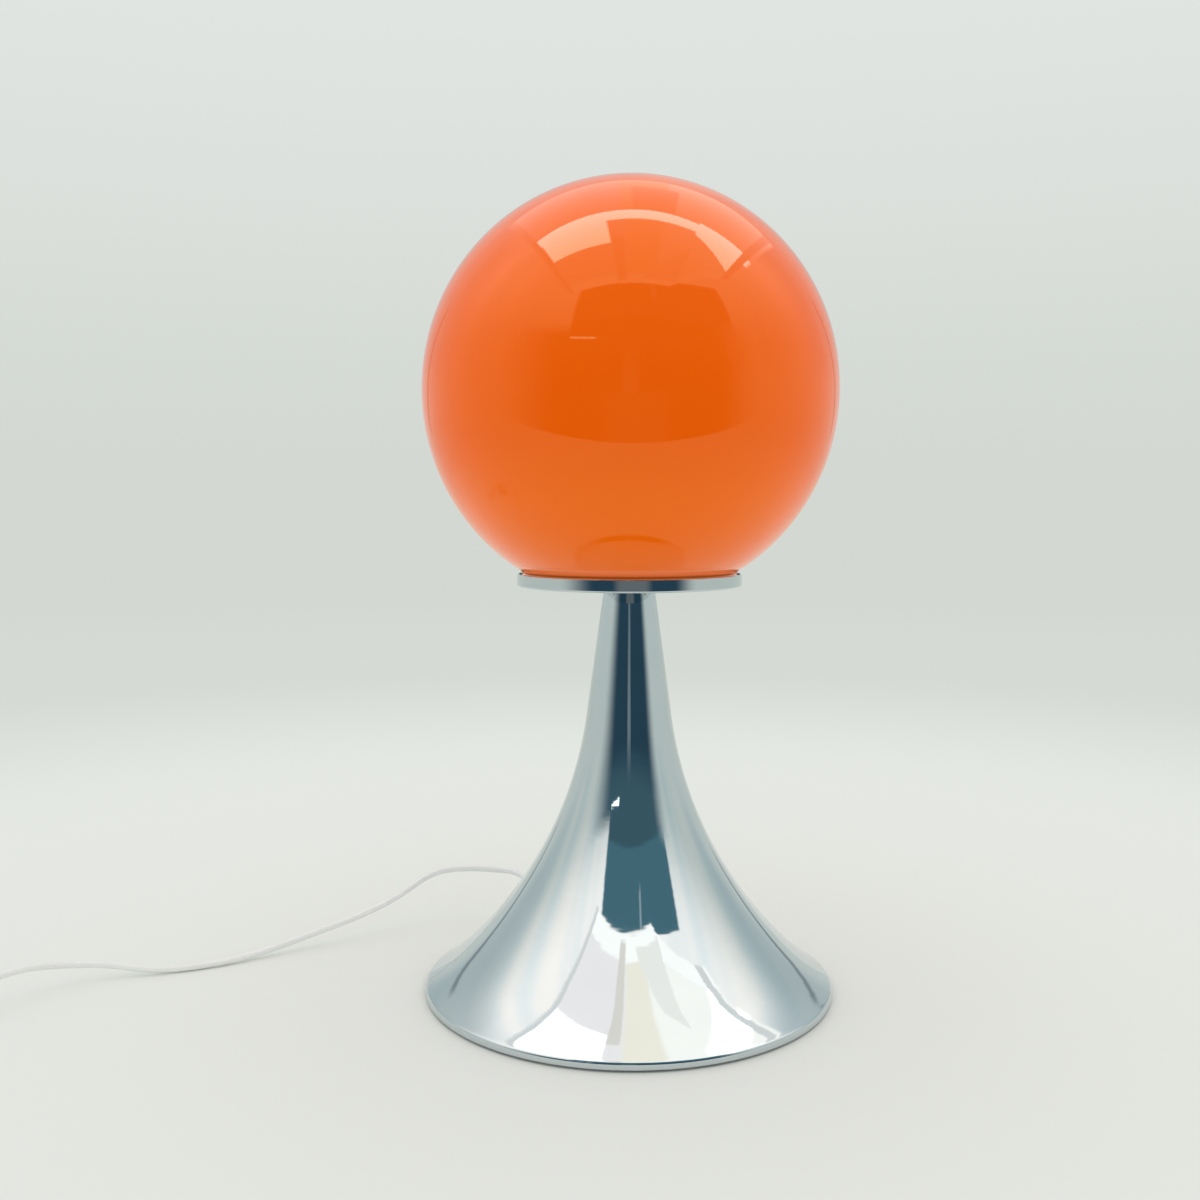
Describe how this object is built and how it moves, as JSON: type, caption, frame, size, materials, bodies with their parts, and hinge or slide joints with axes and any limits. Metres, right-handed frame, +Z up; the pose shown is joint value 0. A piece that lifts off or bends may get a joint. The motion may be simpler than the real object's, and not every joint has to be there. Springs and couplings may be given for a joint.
{
  "type": "table lamp",
  "caption": "Table lamp: a glossy orange glass ball on a shallow chrome dish and a chrome trumpet foot, with a white lead, in-line rocker switch and plug.",
  "frame": {"origin": "on the table under the centre of the foot", "axes": "+Z up along the lamp's axis, -Y to the front, lead leaves at the back towards -X"},
  "size_m": [0.5564, 0.2126, 0.398],
  "materials": {
    "globe_glass": "glossy cased opal orange glass",
    "soft_rubber": "matt",
    "chrome": "polished chrome plate",
    "spring_steel": "satin",
    "zinc_steel": "zinc plated",
    "brass": "turned",
    "cast_iron": "as cast, painted",
    "foot_pad": "matt felted rubber",
    "holder_plastic": "moulded",
    "ceramic": "unglazed",
    "core_insulation": "two cores",
    "bulb_metal": "bright",
    "black_glass": "glossy",
    "opal_glass": "opal",
    "clear_glass": "clear",
    "cord_white": "soft white plastic",
    "switch_white": "moulded",
    "tie_grey": "soft strap",
    "nickel_pins": "nickel plated",
    "black_sleeve": "smooth"
  },
  "bodies": {
    "lamp": {"globe_gasket": "soft_rubber", "gallery_dish": "chrome", "globe_clips": "spring_steel", "clip_rivets": "zinc_steel", "threaded_rod": "zinc_steel", "gallery_washer": "zinc_steel", "gallery_nut": "zinc_steel", "neck_bush": "brass", "trumpet_shell": "chrome", "base_weight": "cast_iron", "base_washer": "zinc_steel", "base_nut": "zinc_steel", "base_pad": "foot_pad", "lampholder_cap": "holder_plastic", "lampholder_sleeve": "holder_plastic", "lampholder_insert": "ceramic", "screw_shell": "brass", "centre_contact": "brass", "terminal_blocks": "brass", "terminal_screws": "zinc_steel", "holder_leads": "core_insulation", "strain_relief": "cord_white", "inner_cord": "cord_white", "cord_run": "cord_white", "switch_lower_shell": "switch_white", "switch_upper_shell": "switch_white", "rocker_pin": "zinc_steel", "switch_contacts": "brass", "switch_screws": "zinc_steel", "cord_link": "cord_white", "cord_coil": "cord_white", "coil_tie": "tie_grey", "cord_tail": "cord_white", "plug_body": "switch_white", "plug_pins": "nickel_pins", "pin_sleeves": "black_sleeve"},
    "globe": {"glass_globe": "globe_glass"},
    "bulb": {"bulb_cap": "bulb_metal", "bulb_insulator": "black_glass", "bulb_tip_contact": "brass", "bulb_envelope": "opal_glass", "bulb_stem": "clear_glass", "bulb_filament": "spring_steel"},
    "rocker": {"switch_rocker": "switch_white"}
  },
  "joints": [
    {"name": "globe_lift", "type": "slide", "parent": "lamp", "child": "globe", "axis": [0, 0, 1], "range_m": [0, 0.15]},
    {"name": "bulb_out", "type": "slide", "parent": "lamp", "child": "bulb", "axis": [0, 0, 1], "range_m": [0, 0.028]},
    {"name": "rocker_tilt", "type": "hinge", "parent": "lamp", "child": "rocker", "pos_m": [-0.383, -0.07, 0.0096], "axis": [0, -1, 0], "range_deg": [0, 18]}
  ]
}
